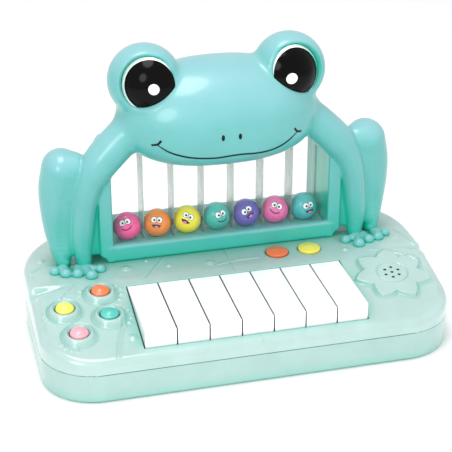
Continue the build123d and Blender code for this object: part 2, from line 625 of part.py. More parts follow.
def eyes():
    save("eye_left", eye(-1))
    save("eye_right", eye(1))


def lanes():
    bottom = TRAY_TOP - TRAY + 0.05
    half = PANE_HALF
    save("front_window", block(-half, half, FRONT_PANE_Y, FRONT_PANE_Y + PANE, bottom, LANE_TOP))
    rear = block(-half, half, REAR_PANE_Y, REAR_PANE_Y + PANE, bottom, LANE_TOP)
    for k in range(KEYS - 1):
        x = LANES[k] + PITCH / 2
        rear = rear + block(x - 0.5, x + 0.5, RIB_FRONT, REAR_PANE_Y + 0.5, TRAY_TOP + 0.1, LANE_TOP)
    ceiling = block(-CORNER_X, CORNER_X, RIB_FRONT, REAR_PANE_Y + 0.5, LANE_TOP - 1.2, LANE_TOP)
    rear = rear + ceiling
    for side in (-1, 1):  # the upper corners are notched to pass behind the arms
        rear = rear - (Pos(side * (CORNER_X + 10), 50, CORNER_Z + 20) * Box(20, 40, 40))
    save("rear_window_with_dividers", rear)
    x = OPENING_X - 0.1
    tray = block(-x, x, FRONT_PANE_Y + PANE + 0.1, REAR_PANE_Y - 0.1, TRAY_TOP - TRAY, TRAY_TOP)
    for x in LANES:
        tray = tray - rod(x, BALL_Y, 40, 60, SEAT_R)
    save("ball_tray", tray)
    for k, x in enumerate(LANES, 1):
        save(f"ball_{k}", Pos(x, BALL_Y, BALL_Z) * Sphere(BALL_R))


def frog_fasteners():
    pins = [screw_y(x, z) for x, z in both_sides(FROG_SCREWS + HEAD_SCREWS)]
    pins = pins + [Pos(x, y, NECK_SCREW_Z) * screw(FROG_SCREW) for x, y in both_sides(NECK_SCREWS)]
    save("frog_screws", Compound(children=[p.solid() for p in pins]))
    pins = [Pos(x, y, DECK_Z - WALL) * screw(9) for x, y in both_sides(FOOT_SCREWS)]
    save("frog_mount_screws", Compound(children=[p.solid() for p in pins]))


save("base_upper_casing", upper_casing())
save("base_lower_casing", lower_casing())
base_fittings()
save("toes_left", foot(-1))
save("toes_right", foot(1))
key_bed()
buttons()
power_switch()
electronics()
lanes()
eyes()
frog_fasteners()
head_shells()
frame_shells()
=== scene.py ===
"""Looks of the frog keyboard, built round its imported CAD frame.

Shapes are worked out in millimetres and scaled to metres when a mesh is made. The frame is the CAD one:
X to the player's right, Y away from the player, Z up, and the table top at Z = 0.
"""

import math
import bpy
import numpy as np
from mathutils import Matrix, Vector
from mathutils.bvhtree import BVHTree


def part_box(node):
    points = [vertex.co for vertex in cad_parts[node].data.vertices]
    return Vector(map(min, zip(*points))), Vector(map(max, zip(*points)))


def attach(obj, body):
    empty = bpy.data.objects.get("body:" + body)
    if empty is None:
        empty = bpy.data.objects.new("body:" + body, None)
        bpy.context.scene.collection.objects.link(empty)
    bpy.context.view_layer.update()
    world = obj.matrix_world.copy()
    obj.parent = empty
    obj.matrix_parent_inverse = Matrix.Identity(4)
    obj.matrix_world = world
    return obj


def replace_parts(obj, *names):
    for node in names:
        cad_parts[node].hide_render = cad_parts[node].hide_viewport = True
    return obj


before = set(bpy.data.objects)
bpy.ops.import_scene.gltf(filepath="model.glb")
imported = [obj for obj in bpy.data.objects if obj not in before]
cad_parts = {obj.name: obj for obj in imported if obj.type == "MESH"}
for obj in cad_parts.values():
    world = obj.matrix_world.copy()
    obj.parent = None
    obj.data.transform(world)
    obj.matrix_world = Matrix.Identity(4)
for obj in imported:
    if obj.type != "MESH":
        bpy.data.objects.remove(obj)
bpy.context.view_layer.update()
MM = 0.001
KEYS, PITCH = 7, 22.0


def centre_of(node):
    """Middle of a CAD node's box, in millimetres."""
    low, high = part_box(node)
    return (low + high) / 2 / MM


# ---------------------------------------------------------------- materials
def linear(code):
    """Colour sockets take linear light; code is the usual six-digit colour."""
    parts = [int(code[k : k + 2], 16) / 255 for k in (0, 2, 4)]
    return tuple(((c + 0.055) / 1.055) ** 2.4 if c > 0.04045 else c / 12.92 for c in parts) + (1.0,)


def add(tree, kind, values=None, **settings):
    made = tree.nodes.new(kind)
    for key, value in (values or {}).items():
        made.inputs[key].default_value = value
    for key, value in settings.items():
        setattr(made, key, value)
    return made


def mix_colours(tree, factor, first, second):
    made = tree.nodes.new("ShaderNodeMix")
    made.data_type, made.blend_type = "RGBA", "MIX"
    tree.links.new(factor, made.inputs["Factor"])
    for slot, value in ((6, first), (7, second)):
        if isinstance(value, tuple):
            made.inputs[slot].default_value = value
        else:
            tree.links.new(value, made.inputs[slot])
    return made.outputs[2]


def new_material(name):
    made = bpy.data.materials.new(name)
    made.use_nodes = True
    return made, made.node_tree, made.node_tree.nodes["Principled BSDF"]


def noise(tree, scale, detail=2.0, stretch=None):
    place = add(tree, "ShaderNodeTexCoord").outputs["Object"]
    if stretch:
        mapping = add(tree, "ShaderNodeMapping", {"Scale": stretch})
        tree.links.new(place, mapping.inputs["Vector"])
        place = mapping.outputs["Vector"]
    made = add(tree, "ShaderNodeTexNoise", {"Scale": scale, "Detail": detail})
    tree.links.new(place, made.inputs["Vector"])
    return made.outputs["Fac"]


def remap(tree, value, low, high, from_low=0.0, from_high=1.0):
    values = {"From Min": from_low, "From Max": from_high, "To Min": low, "To Max": high}
    made = add(tree, "ShaderNodeMapRange", values)
    tree.links.new(value, made.inputs["Value"])
    return made.outputs["Result"]


CLOUD_SCALE, CLOUD_RANGE = 55.0, (0.35, 0.65)
GLOSS_SCALE = 60.0
GRAIN_SCALE, GRAIN_STRENGTH = 1400.0, 0.35
MOST_TOP_LIGHT, FULLY_UP = 0.42, 0.85  # the painted top light's largest share, and the lean towards straight up that gets it
COAT_ROUGHNESS = 0.08


def moulded(
    name,
    colour,
    shade,
    rough=(0.25, 0.35),
    pore=0.02,
    painted_shade=None,
    reach=0.03,
    coat=0.0,
    metal=0.0,
    sheen=0.5,
    span=(0.25, 0.97),
    top=None,
):
    """Moulded plastic, rubber or metal, with a cloudy colour, uneven gloss and fine grain.

    The grain is pore millimetres in depth. Recesses get painted shade: a place turns to the painted shade
    colour as the share of open sky within reach metres of it falls from the second figure in span to the
    first. Faces that look up get painted top light, turning towards the top colour.
    """
    made, tree, shader = new_material(name)
    cloud = remap(tree, noise(tree, CLOUD_SCALE, 3.0), 0.0, 1.0, *CLOUD_RANGE)
    tint = mix_colours(tree, cloud, linear(colour), linear(shade))
    # painted shade: recesses darken towards the shade colour where the ambient occlusion finds little open
    # sky
    if painted_shade:
        open_sky = add(tree, "ShaderNodeAmbientOcclusion", {"Distance": reach}, samples=24)
        hollow = remap(tree, open_sky.outputs["AO"], 1.0, 0.0, span[0], span[1])
        tint = mix_colours(tree, hollow, tint, linear(painted_shade))
    # painted top light: faces that look up turn towards the paler top colour, as if lit from above
    if top:
        normal = add(tree, "ShaderNodeNewGeometry").outputs["Normal"]
        parts = add(tree, "ShaderNodeSeparateXYZ")
        tree.links.new(normal, parts.inputs["Vector"])
        painted_top_light = remap(tree, parts.outputs["Z"], 0.0, MOST_TOP_LIGHT, 0.0, FULLY_UP)
        tint = mix_colours(tree, painted_top_light, tint, linear(top))
    tree.links.new(tint, shader.inputs["Base Color"])
    gloss = remap(tree, noise(tree, GLOSS_SCALE, 1.0), rough[0], rough[1])
    tree.links.new(gloss, shader.inputs["Roughness"])
    grain = add(tree, "ShaderNodeBump", {"Strength": GRAIN_STRENGTH, "Distance": pore * MM})
    tree.links.new(noise(tree, GRAIN_SCALE, 2.0), grain.inputs["Height"])
    tree.links.new(grain.outputs["Normal"], shader.inputs["Normal"])
    shader.inputs["Metallic"].default_value = metal
    shader.inputs["Specular IOR Level"].default_value = sheen
    shader.inputs["Coat Weight"].default_value = coat
    shader.inputs["Coat Roughness"].default_value = COAT_ROUGHNESS
    return made


FLOW_SCALE, FLOW_STRETCH = 60.0, (1.0, 1.0, 0.15)


def clear(name, colour, shade, alpha):
    """Clear sheet: faint tint with upright flow marks; alpha is its opacity, from thinnest to thickest."""
    made, tree, shader = new_material(name)
    flow = remap(tree, noise(tree, FLOW_SCALE, 3.0, FLOW_STRETCH), 0.0, 1.0, *CLOUD_RANGE)
    tree.links.new(mix_colours(tree, flow, linear(colour), linear(shade)), shader.inputs["Base Color"])
    tree.links.new(remap(tree, flow, alpha[0], alpha[1]), shader.inputs["Alpha"])
    tree.links.new(remap(tree, noise(tree, 200.0), 0.04, 0.09), shader.inputs["Roughness"])
    shader.inputs["Specular IOR Level"].default_value = 0.6
    return made


# how far each material looks for cover when it paints shade into its recesses, in metres
MINT_REACH, FROG_REACH, KEY_REACH, BALL_REACH, BUTTON_REACH = 0.012, 0.05, 0.004, 0.01, 0.005
PRINT_GRAIN = 0.006
# painted shade: the mints, the frog, the keys, the balls and the buttons darken towards a shade colour in
# their recesses
MATERIALS = {
    "mint_plastic": moulded(
        "mint_plastic", "abc6c2", "a5c1bc", (0.26, 0.34), painted_shade="4fb3a2", reach=MINT_REACH, coat=0.8
    ),
    # painted shade: a darker copy of the casing's mint, for the lower casing that sits in shade
    "mint_lower": moulded(
        "mint_lower", "9fbfba", "99bab4", (0.28, 0.36), painted_shade="6fbcae", reach=MINT_REACH, coat=0.6
    ),
    # painted top light: the frog's faces that look up turn a paler blue-grey
    "frog_teal": moulded(
        "frog_teal", "5eacab", "58a8a6", (0.27, 0.34), 0.005,
        painted_shade="14bea6", reach=FROG_REACH, coat=0.3, top="a2c9d5",
    ),
    # painted shade: the gaps between the keys darken to a dark brown
    "key_white": moulded(
        "key_white", "fdfeff", "f8fbff", (0.22, 0.30),
        painted_shade="4a433e", reach=KEY_REACH, coat=0.2, span=(0.04, 0.30),
    ),
    "clear_plastic": clear("clear_plastic", "f0f8f4", "e2f0ea", (0.015, 0.035)),
    "clear_rib": clear("clear_rib", "9db8ab", "97b3a6", (0.46, 0.52)),
    "eye_black": moulded("eye_black", "030303", "060505", (0.12, 0.18), PRINT_GRAIN, sheen=0.12),
    "eye_white": moulded("eye_white", "fbfdfd", "f2f7f8", (0.14, 0.2), PRINT_GRAIN, coat=0.5),
    "print_black": moulded("print_black", "041214", "07181a", (0.3, 0.42), PRINT_GRAIN, sheen=0.25),
}
# each ball's and button's colour, the shade that clouds it, and the painted shade that it turns to in
# recesses
BALL_COLOURS = {
    "ball_magenta": ("ff5ca6", "fa549f", "ee4d97"),
    "ball_orange": ("ff9a34", "fb922e", "f08527"),
    "ball_yellow": ("fff648", "fbf03e", "efe02e"),
    "ball_teal": ("5cd0c8", "54cac1", "2fb0a4"),
    "ball_purple": ("7367c8", "6b5fc0", "6354b4"),
    "ball_pink": ("fc84c0", "f87bb9", "e067a6"),
    "ball_aqua": ("70d2d4", "68cdcf", "3ab0b2"),
}
BUTTON_COLOURS = {
    "button_orange": ("f5804f", "f07848", "cf5a2b"),
    "button_yellow": ("f5ea6a", "efe35f", "cdbf3b"),
    "button_teal": ("5abfb3", "52b9ac", "2b9587"),
    "button_pink": ("f7abb6", "f3a2ae", "d67f8f"),
}
# the plainer pieces: colour, the shade that clouds it, gloss range, grain depth, and how metallic it is
PLAIN_LOOKS = {
    "foot_rubber": ("4b4f50", "434748", (0.7, 0.85), 0.06, 0.0),
    "contact_rubber": ("6f7577", "666c6e", (0.6, 0.75), 0.04, 0.0),
    "circuit_board": ("2f6d3a", "28622f", (0.35, 0.5), 0.03, 0.0),
    "component": ("1b1c1f", "232528", (0.4, 0.55), 0.03, 0.0),
    "switch_black": ("17181a", "202225", (0.35, 0.5), 0.03, 0.0),
    "speaker_steel": ("a9adb0", "9da1a5", (0.3, 0.42), 0.02, 1.0),
    "speaker_paper": ("2b2724", "35302c", (0.75, 0.9), 0.08, 0.0),
    "screw_steel": ("b9bcc0", "a8acb1", (0.22, 0.34), 0.02, 1.0),
    "spring_steel": ("c3c6ca", "b0b4b9", (0.2, 0.3), 0.02, 1.0),
    "battery_sleeve": ("3b4350", "46505f", (0.3, 0.4), 0.02, 0.0),
    "wire_red": ("b3232a", "a31d24", (0.35, 0.45), 0.02, 0.0),
    # painted shade: the dark discs that stand for the sound holes
    "painted_hole_shade": ("12332f", "0d2825", (0.6, 0.8), 0.02, 0.0),
}


def fill_materials():
    """Add the balls, the buttons and the plainer pieces to MATERIALS."""
    for name, (colour, shade, painted_shade) in BALL_COLOURS.items():
        MATERIALS[name] = moulded(name, colour, shade, (0.22, 0.30), painted_shade=painted_shade, reach=BALL_REACH, coat=0.3)
    for name, (colour, shade, painted_shade) in BUTTON_COLOURS.items():
        MATERIALS[name] = moulded(name, colour, shade, (0.24, 0.32), painted_shade=painted_shade, reach=BUTTON_REACH, coat=0.25)
    for name, (colour, shade, rough, pore, metal) in PLAIN_LOOKS.items():
        MATERIALS[name] = moulded(name, colour, shade, rough, pore, metal=metal)


# ---------------------------------------------------------------- meshes
def make_piece(name, verts, faces, material, body, slot, normals=None, origin=(0, 0, 0)):
    """One piece from millimetre points. Its own origin is where its material's pattern starts."""
    points = np.asarray(verts, float) - np.asarray(origin, float)
    mesh = bpy.data.meshes.new(name)
    mesh.from_pydata((points * MM).tolist(), [], [list(map(int, f)) for f in faces])
    mesh.validate()
    for polygon in mesh.polygons:
        polygon.use_smooth = True
    if normals is not None:
        mesh.normals_split_custom_set_from_vertices(np.asarray(normals, float).tolist())
    made = bpy.data.objects.new(name, mesh)
    bpy.context.scene.collection.objects.link(made)
    made.location = Vector(origin) * MM
    made.data.materials.append(MATERIALS[material])
    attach(made, body)
    return made


def smin(a, b, k):
    """Union of two distances with a fillet about k wide."""
    h = np.maximum(k - np.abs(a - b), 0) / k
    return np.minimum(a, b) - h * h * k / 4


def smax(a, b, k):
    return -smin(-a, -b, k)


def box_distance(x, y, z, low, high, r):
    q = [np.abs(v - (a + b) / 2) - ((b - a) / 2 - r) for v, a, b in zip((x, y, z), low, high)]
    outside = np.sqrt(sum(np.maximum(c, 0) ** 2 for c in q))
    return outside + np.minimum(np.maximum(np.maximum(q[0], q[1]), q[2]), 0) - r


def step_down(distance, width):
    """1 well inside an edge and 0 well outside it, easing over width."""
    t = np.clip(0.5 - distance / width, 0, 1)
    return t * t * (3 - 2 * t)


def skin(field, axes):
    """Quads over the zero level of a field sampled on a grid (surface nets)."""
    inside = field < 0
    shape = np.array(field.shape)
    cells = shape - 1
    keys, places, quads = [], [], []
    for axis in range(3):
        b, c = (axis + 1) % 3, (axis + 2) % 3
        first = [slice(None)] * 3
        second = [slice(None)] * 3
        first[axis], second[axis] = slice(0, -1), slice(1, None)
        first, second = tuple(first), tuple(second)
        at = np.argwhere(inside[first] != inside[second])
        at = at[(at[:, b] > 0) & (at[:, b] < cells[b]) & (at[:, c] > 0) & (at[:, c] < cells[c])]
        other = at.copy()
        other[:, axis] += 1
        f0, f1 = field[tuple(at.T)], field[tuple(other.T)]
        spot = at.astype(float)
        spot[:, axis] += f0 / (f0 - f1)
        ring = []
        for db, dc in ((1, 1), (0, 1), (0, 0), (1, 0)):
            cell = at.copy()
            cell[:, b] -= db
            cell[:, c] -= dc
            number = np.ravel_multi_index(cell.T, cells)
            ring.append(number)
            keys.append(number)
            places.append(spot)
        ring = np.stack(ring, 1)
        leaving = f0 < 0
        quads.append(np.where(leaving[:, None], ring, ring[:, ::-1]))
    keys, places = np.concatenate(keys), np.concatenate(places)
    found, index = np.unique(keys, return_inverse=True)
    count = np.bincount(index)
    points = np.stack([np.bincount(index, places[:, k]) / count for k in range(3)], 1)
    for k in range(3):
        points[:, k] = axes[k][0] + points[:, k] * (axes[k][1] - axes[k][0])
    return points, np.searchsorted(found, np.concatenate(quads))


def gradient(distance, points, reach=0.25):
    x, y, z = points.T
    parts = []
    for dx, dy, dz in ((reach, 0, 0), (0, reach, 0), (0, 0, reach)):
        ahead = distance(x + dx, y + dy, z + dz)
        behind = distance(x - dx, y - dy, z - dz)
        parts.append((ahead - behind) / (2 * reach))
    return np.stack(parts, 1)


def settle(distance, points, most=0.8):
    """Move points onto the zero level of distance, and give the surface's normals there."""
    slope = gradient(distance, points)
    size = np.maximum((slope**2).sum(1), 0.05)
    move = -slope * (distance(*points.T) / size)[:, None]
    length = np.sqrt((move**2).sum(1))[:, None]
    points = points + move * np.minimum(1, most / np.maximum(length, 1e-6))
    slope = gradient(distance, points)
    return points, slope / np.maximum(np.sqrt((slope**2).sum(1))[:, None], 1e-6)


def part_of(points, quads, normals, chosen):
    """The chosen faces with only the points that they use."""
    faces = quads[chosen]
    used, index = np.unique(faces, return_inverse=True)
    return points[used], index.reshape(faces.shape), normals[used]


# ---------------------------------------------------------------- frog
# limbs of the right half as rows of (x, y, z, radius); the left half mirrors them
ARM = [
    (58, 32, 145.4, 12.4),
    (74, 29, 131.5, 12.6),
    (86, 27, 119.4, 12.2),
    (94, 25.5, 107, 10.4),
    (98, 25, 92, 9.1),
    (100, 24.5, 76, 8.3),
    (101, 24, 60, 7.0),
    (100.5, 23, 48, 5.4),
]
LEG_OUTER = [
    (111.0, 36, 115, 14.0),
    (114.6, 36, 101, 13.1),
    (116.2, 35, 86, 11.4),
    (116.6, 34, 70, 9.2),
    (115.6, 31, 56, 7.2),
    (114.4, 28, 48, 5.6),
]
LEG_INNER = [
    (103, 33, 116, 11.0),
    (106.5, 31, 102, 9.8),
    (109, 30, 86, 8.2),
    (110, 29.5, 70, 6.8),
    (111, 28, 56, 5.6),
]
ARM_DEPTH, LEG_OUTER_DEPTH, LEG_INNER_DEPTH = 1.15, 1.2, 1.1  # how much deeper than wide a limb is
LIMB_STEPS = 7
SPLIT_Y = 34.0
FOOT_Z = 45.1  # the frog stands just clear of the deck

# the skull: half sizes, how square it is across, its middle in y and z, and how far its ends go back and drop
SKULL_WIDTH, SKULL_DEPTH, SKULL_UP, SKULL_DOWN, SKULL_POWER = 72, 42, 35.4, 32.6, 2.5
SKULL_Y, SKULL_Z, END_BACK, END_DROP = 32, 149.5, 3, 3.5
NOD = math.radians(25)
EYE_AT, EYE_LOOK, EYE_R, EYE_DEPTH = (51.2, 19.5, 177.4), (0.28, -0.92, 0.26), 18.2, 9.0
EYE_SHIFT, EYE_HALF = 0.6, 17.6  # each eye is a little narrower than tall, and set outwards
EYE_GAP, DISH_BACK = 0.35, 1.6  # the socket's room round the eye and behind it
BROW_AT, BROW_R = (51.2, 35.0, 174.8), 25.5
BROW_LIP, BROW_FILLET = 3.5, 5.0

# low corner, high corner and edge radius of the lanes' room, of the frame round it, and of the web that
# joins each arm to its leg
LANES = ((-79, 26.1, 53.6), (79, 51.9, 132.3), 0.3)
POST = ((79, 33, 45.1), (92, 74, 122), 1.6)
CHEEK = ((79, 20.6, 45.1), (88.6, 60, 112), 1.6)
SILL = ((-84, 20.6, 45.1), (84, 74, 57.7), 2.2)
RAIL = ((-84, 53.1, 114), (84, 74, 123), 2.0)
NECK = ((-48, 53.1, 112), (48, 68, 146), 2.0)
WEB = ((85, 24.5, 50), (106, 40, 103), 3.0)
# slanted cuts: a place in x and z, the direction the cut faces, and that direction's length
SHOULDER = ((92, 102), (18, 13), 22.2)
UNDER_ARM = ((79, 112), (16, 12), 20)
ARCH_AT, ARCH_R = (90, 44), 6.8


def smooth_rows(rows, steps):
    """Catmull-Rom curve through the rows, with steps places from each row to the next."""
    rows = np.array(rows, float)
    padded = np.vstack([2 * rows[0] - rows[1], rows, 2 * rows[-1] - rows[-2]])
    out = []
    for k in range(1, len(padded) - 2):
        a, b, c, d = padded[k - 1 : k + 3]
        for t in np.arange(steps) / steps:
            curve = 2 * b + (c - a) * t + (2 * a - 5 * b + 4 * c - d) * t**2 + (3 * b - a - 3 * c + d) * t**3
            out.append(0.5 * curve)
    return out + [rows[-1]]


def limb(x, y, z, rows, depth):
    """Distance from a limb whose section is depth times as deep as it is wide."""
    path = smooth_rows(rows, LIMB_STEPS)
    flat_y = y / depth
    best = None
    for (ax, ay, az, ar), (bx, by, bz, br) in zip(path, path[1:]):
        ux, uy, uz = bx - ax, (by - ay) / depth, bz - az
        px, py, pz = x - ax, flat_y - ay / depth, z - az
        t = np.clip((px * ux + py * uy + pz * uz) / (ux * ux + uy * uy + uz * uz), 0, 1)
        d = np.sqrt((px - t * ux) ** 2 + (py - t * uy) ** 2 + (pz - t * uz) ** 2) - (ar + t * (br - ar))
        best = d if best is None else np.minimum(best, d)
    return best


def head_distance(x, y, z):
    """Broad flattened skull tipped forward, with a brow round each eye."""
    s = x / SKULL_WIDTH
    c, n = math.cos(NOD), math.sin(NOD)
    dy, dz = y - (SKULL_Y + END_BACK * s * s), z - (SKULL_Z - END_DROP * s * s)
    u, v = dy * c + dz * n, dz * c - dy * n
    half_height = np.where(v > 0, SKULL_UP, SKULL_DOWN)
    total = np.abs(s) ** SKULL_POWER + (u / SKULL_DEPTH) ** 2 + (v / half_height) ** 2
    root = np.sqrt(total)
    slope_x = SKULL_POWER * np.abs(s) ** (SKULL_POWER - 1) / SKULL_WIDTH
    slope_u, slope_v = 2 * u / SKULL_DEPTH**2, 2 * v / half_height**2
    slope = np.sqrt(slope_x**2 + slope_u**2 + slope_v**2) / (2 * root + 1e-6)
    skull = np.maximum((root - 1) / np.maximum(slope, 1e-3), -25)
    brow = np.sqrt((x - BROW_AT[0]) ** 2 + (y - BROW_AT[1]) ** 2 + (z - BROW_AT[2]) ** 2) - BROW_R
    size = math.sqrt(sum(k * k for k in EYE_LOOK))
    look = [k / size for k in EYE_LOOK]
    ex, ey, ez = x - EYE_AT[0], y - EYE_AT[1], z - EYE_AT[2]
    ahead = ex * look[0] + ey * look[1] + ez * look[2]
    outward = (ey * look[0] - ex * look[1]) / math.hypot(look[0], look[1])
    upward_squared = np.maximum(ex**2 + ey**2 + ez**2 - ahead**2 - outward**2, 0)
    off_axis = np.sqrt(((outward - EYE_SHIFT) * EYE_R / EYE_HALF) ** 2 + upward_squared)
    dish = np.maximum(off_axis - EYE_R - EYE_GAP, -(ahead + DISH_BACK))
    return smin(skull, smax(brow, -dish, BROW_LIP), BROW_FILLET)


def lane_distance(x, y, z):
    """Room for the balls and the panes, up into the underside of the head."""
    return box_distance(x, y, z, *LANES)


def slant_distance(x, z, place, facing, length):
    """Distance beyond a plane that slants in x and z."""
    return ((x - place[0]) * facing[0] + (z - place[1]) * facing[1]) / length


def frame_distance(x, y, z):
    """Arms, folded legs, and the frame round the ball lanes."""
    arm = limb(x, y, z, ARM, ARM_DEPTH)
    outer, inner = limb(x, y, z, LEG_OUTER, LEG_OUTER_DEPTH), limb(x, y, z, LEG_INNER, LEG_INNER_DEPTH)
    leg = smin(outer, inner, 2.5)
    shoulder = slant_distance(x, z, *SHOULDER)
    post = box_distance(x, y, z, *POST)
    cheek = box_distance(x, y, z, *CHEEK)
    post = smin(post, smax(cheek, slant_distance(x, z, *UNDER_ARM), 2.0), 2.0)
    post = smax(post, shoulder, 2.0)
    sill = box_distance(x, y, z, *SILL)
    rail = smax(box_distance(x, y, z, *RAIL), shoulder - 1.6, 1.5)
    neck = box_distance(x, y, z, *NECK)
    support = smin(np.minimum(np.minimum(sill, rail), neck), post, 1.5)
    arch = ARCH_R - np.sqrt((x - ARCH_AT[0]) ** 2 + (z - ARCH_AT[1]) ** 2)
    support = smax(support, arch, 1.0)
    limbs = smin(smin(arm, leg, 1.6), box_distance(x, y, z, *WEB), 2.5)
    whole = smin(limbs, support, 1.4)
    whole = smax(whole, -lane_distance(x, y, z), 0.8)
    return np.maximum(whole, FOOT_Z - z)


def frog_distance(x, y, z):
    """Head and frame together, mirrored about the middle."""
    x = np.abs(x)
    whole = smin(head_distance(x, y, z), frame_distance(x, y, z), 4.0)
    return smax(whole, -lane_distance(x, y, z), 0.8)


def build_frog():
    """The four shells of the frog. Gives the head's front back, for the printed face to be laid on."""
    h = 1.25
    xs = (np.arange(106) + 0.5) * h
    ys = SPLIT_Y + (np.arange(-39, 35) + 0.5) * h
    zs = 43.6 + np.arange(131) * h
    x, y, z = np.meshgrid(xs, ys, zs, indexing="ij", sparse=True)
    half = frog_distance(x.astype(np.float32), y.astype(np.float32), z.astype(np.float32))
    field = np.concatenate([half[::-1], half])
    points, quads = skin(field, (np.concatenate([-xs[::-1], xs]), ys, zs))
    points, normals = settle(frog_distance, points)
    at_split = np.abs(points[:, 1] - SPLIT_Y) < h * 0.52
    points[at_split, 1] = SPLIT_Y
    middle = points[quads].mean(1)
    mirrored = (np.abs(middle[:, 0]), middle[:, 1], middle[:, 2])
    is_head = head_distance(*mirrored) < frame_distance(*mirrored)
    is_front = middle[:, 1] < SPLIT_Y
    shells = {
        "head_front": is_head & is_front,
        "head_rear": is_head & ~is_front,
        "frame_front": ~is_head & is_front,
        "frame_rear": ~is_head & ~is_front,
    }
    for name, chosen in shells.items():
        verts, faces, directions = part_of(points, quads, normals, chosen)
        made = make_piece("frog_" + name, verts, faces, "frog_teal", "base", "frog_teal", directions)
        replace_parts(made, name + "_shell")
    return BVHTree.FromPolygons(points.tolist(), quads[shells["head_front"]].tolist())


# toe tips as (x, y, radius), and where each toe starts
TOE_TIPS = [(122, 16, 3.7), (115, 11, 4.1), (107, 8.8, 4.1), (98, 4.2, 4.3), (90.5, 12, 3.8)]
TOE_ROOTS = [(116, 21), (115, 20), (106, 18), (101, 17), (99, 17)]
TIP_Z, TOE_Z, TOE_R, TOE_TALL = 45.4, 45.0, 3.3, 1.05


def toe_distance(x, y, z):
    """Five round-tipped toes on the deck."""
    x = np.abs(x)
    best = None
    for (tx, ty, r), (rx, ry) in zip(TOE_TIPS, TOE_ROOTS):
        bulb = np.sqrt((x - tx) ** 2 + (y - ty) ** 2 + ((z - TIP_Z) / TOE_TALL) ** 2) - r
        ux, uy = rx - tx, ry - ty
        t = np.clip(((x - tx) * ux + (y - ty) * uy) / (ux * ux + uy * uy), 0, 1)
        stem = np.sqrt((x - tx - t * ux) ** 2 + (y - ty - t * uy) ** 2 + (z - TOE_Z) ** 2) - TOE_R
        toe = smin(bulb, stem, 0.8)
        best = toe if best is None else smin(best, toe, 1.2)
    return np.maximum(best, FOOT_Z - z)


def build_toes():
    h = 0.6
    ys, zs = np.arange(-2, 28, h), np.arange(44.4, 51, h)
    for side, name in ((-1, "toes_left"), (1, "toes_right")):
        xs = side * 106 + np.arange(-21, 21, h)
        x, y, z = np.meshgrid(xs, ys, zs, indexing="ij", sparse=True)
        points, quads = skin(toe_distance(x, y, z), (xs, ys, zs))
        points, normals = settle(toe_distance, points, 0.4)
        made = make_piece("frog_" + name, points, quads, "frog_teal", "base", "frog_teal", normals)
        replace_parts(made, name)


# ---------------------------------------------------------------- eyes and printed face
PUPIL_R, PUPIL_TALL, PUPIL_IN, PUPIL_UP, PUPIL_LIFT = 17.0, 1.01, 0.9, -0.8, 0.12
GLINT_AT, GLINT_R, GLINT_LIFT = {-1: (4.3, -2.8), 1: (-7.9, -3.5)}, 3.7, 0.24


def frame_at(centre, look, up=(0, 0, 1)):
    """Rows right, up and ahead of a flat patch at centre that looks along look."""
    ahead = Vector(look).normalized()
    right = Vector(up).cross(ahead).normalized()
    return Vector(centre), right, ahead.cross(right), ahead


def build_eyes():
    """Domed white eyes with a printed pupil and glint; side is -1 for the left eye and 1 for the right."""
    ball = (EYE_R**2 + EYE_DEPTH**2) / (2 * EYE_DEPTH)
    rings, turns, narrow, skirt = 22, 96, EYE_HALF / EYE_R, 1.5
    for side, name in ((-1, "eye_left"), (1, "eye_right")):
        place = (side * EYE_AT[0], EYE_AT[1], EYE_AT[2])
        centre, right, up, ahead = frame_at(place, (side * EYE_LOOK[0], EYE_LOOK[1], EYE_LOOK[2]))

        def dome(a, b, lift=0.0):
            height = math.sqrt(max(ball**2 - a * a - b * b, 0)) - ball + EYE_DEPTH
            return centre + right * a + up * b + ahead * (height + lift)

        def shifted(middle, lift):
            return lambda a, b: dome(a + middle[0], b + middle[1], lift)

        verts, faces = [dome(0, 0)], []
        for k in range(1, rings + 1):
            r = EYE_R * math.sin(math.pi / 2 * k / rings)
            for j in range(turns):
                angle = 2 * math.pi * j / turns
                verts.append(dome(side * EYE_SHIFT + r * narrow * math.cos(angle), r * math.sin(angle)))
        for j in range(turns):
            angle = 2 * math.pi * j / turns
            across = side * EYE_SHIFT + EYE_HALF * math.cos(angle)
            verts.append(centre + right * across + up * EYE_R * math.sin(angle) - ahead * skirt)
        for j in range(turns):
            nxt = (j + 1) % turns
            faces.append((0, 1 + j, 1 + nxt))
            for k in range(rings):
                a, b = 1 + k * turns + j, 1 + k * turns + nxt
                faces.append((a, a + turns, b + turns, b))
        origin = tuple(centre)
        made = make_piece(name + "_dome", verts, faces, "eye_white", "base", "eye_black", origin=origin)
        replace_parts(made, name)
        pupil = shifted((-side * PUPIL_IN, PUPIL_UP), PUPIL_LIFT)
        patch(name + "_pupil", pupil, circle(PUPIL_R, 72, PUPIL_TALL), 12, "eye_black", origin=origin)
        glint = shifted(GLINT_AT[side], GLINT_LIFT)
        patch(name + "_glint", glint, circle(GLINT_R, 40), 4, "eye_white", origin=origin)


def circle(r, count, tall=1.0):
    """Outline of a circle, tall times as high as it is wide."""
    turns = [2 * math.pi * k / count for k in range(count)]
    return [(r * math.cos(a), r * tall * math.sin(a)) for a in turns]


def patch(name, surface, outline, rings, material, body="base", origin=(0, 0, 0)):
    """A printed shape laid on a surface: surface turns flat places into points in space."""
    n = len(outline)
    ma = sum(a for a, _ in outline) / n
    mb = sum(b for _, b in outline) / n
    verts, faces = [surface(ma, mb)], []
    for k in range(1, rings + 1):
        for a, b in outline:
            verts.append(surface(ma + (a - ma) * k / rings, mb + (b - mb) * k / rings))
    for j in range(n):
        nxt = (j + 1) % n
        faces.append((0, 1 + j, 1 + nxt))
        for k in range(rings - 1):
            a, b = 1 + k * n + j, 1 + k * n + nxt
            faces.append((a, a + n, b + n, b))
    return make_piece(name, verts, faces, material, body, None, origin=origin)


